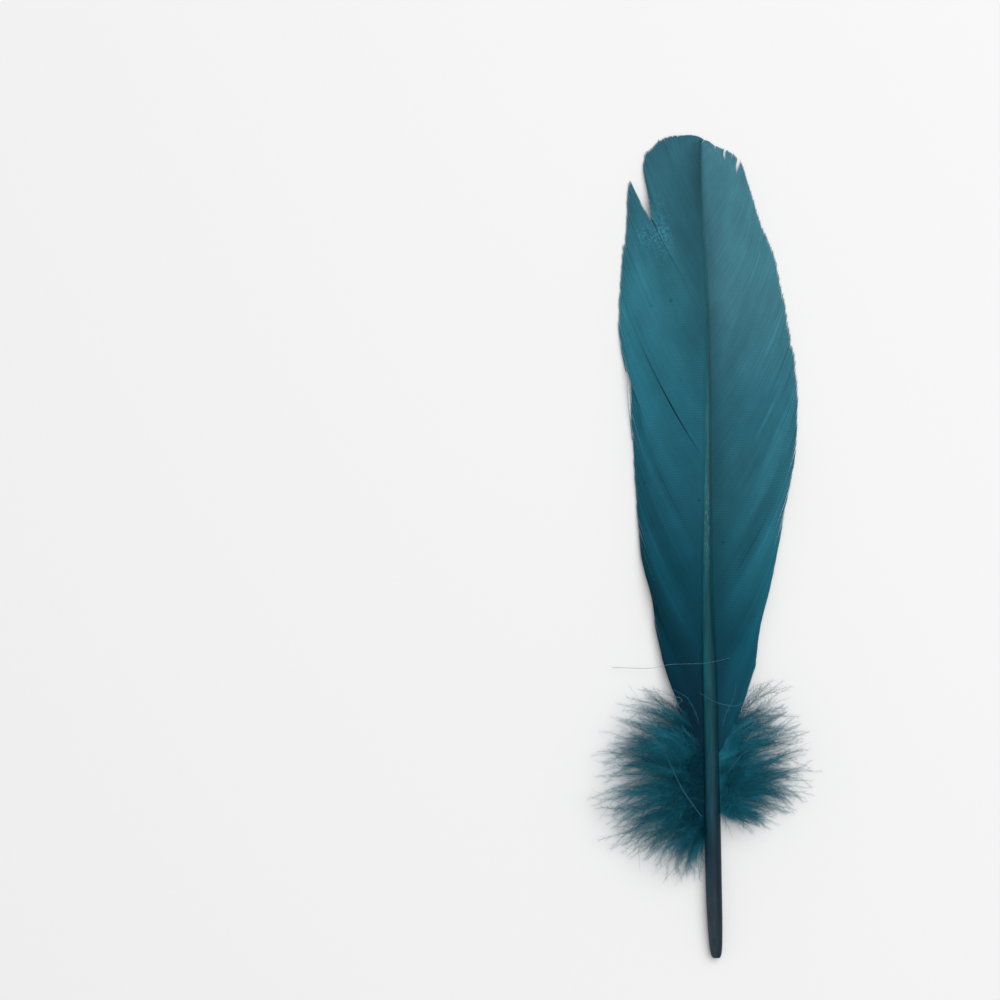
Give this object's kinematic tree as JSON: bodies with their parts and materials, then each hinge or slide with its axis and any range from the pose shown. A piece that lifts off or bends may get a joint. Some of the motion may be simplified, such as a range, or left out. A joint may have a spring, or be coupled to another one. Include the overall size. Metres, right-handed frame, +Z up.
{
  "type": "goose quill feather",
  "caption": "Dyed goose quill feather: a round quill and curved shaft, a smooth vane on each side, and loose down round its lower end.",
  "frame": {"origin": "on the surface that the feather lies on, under the middle of the box that it fills", "axes": "+Y along the feather from the quill's end to the tip, +Z up, out of its outer side"},
  "size_m": [0.0522, 0.1798, 0.0097],
  "materials": {
    "vane": "dull dyed barbs with a soft sheen",
    "quill": "satin dyed horn",
    "down": "soft loose down"
  },
  "bodies": {
    "root": {"feather": "vane"}
  },
  "joints": []
}
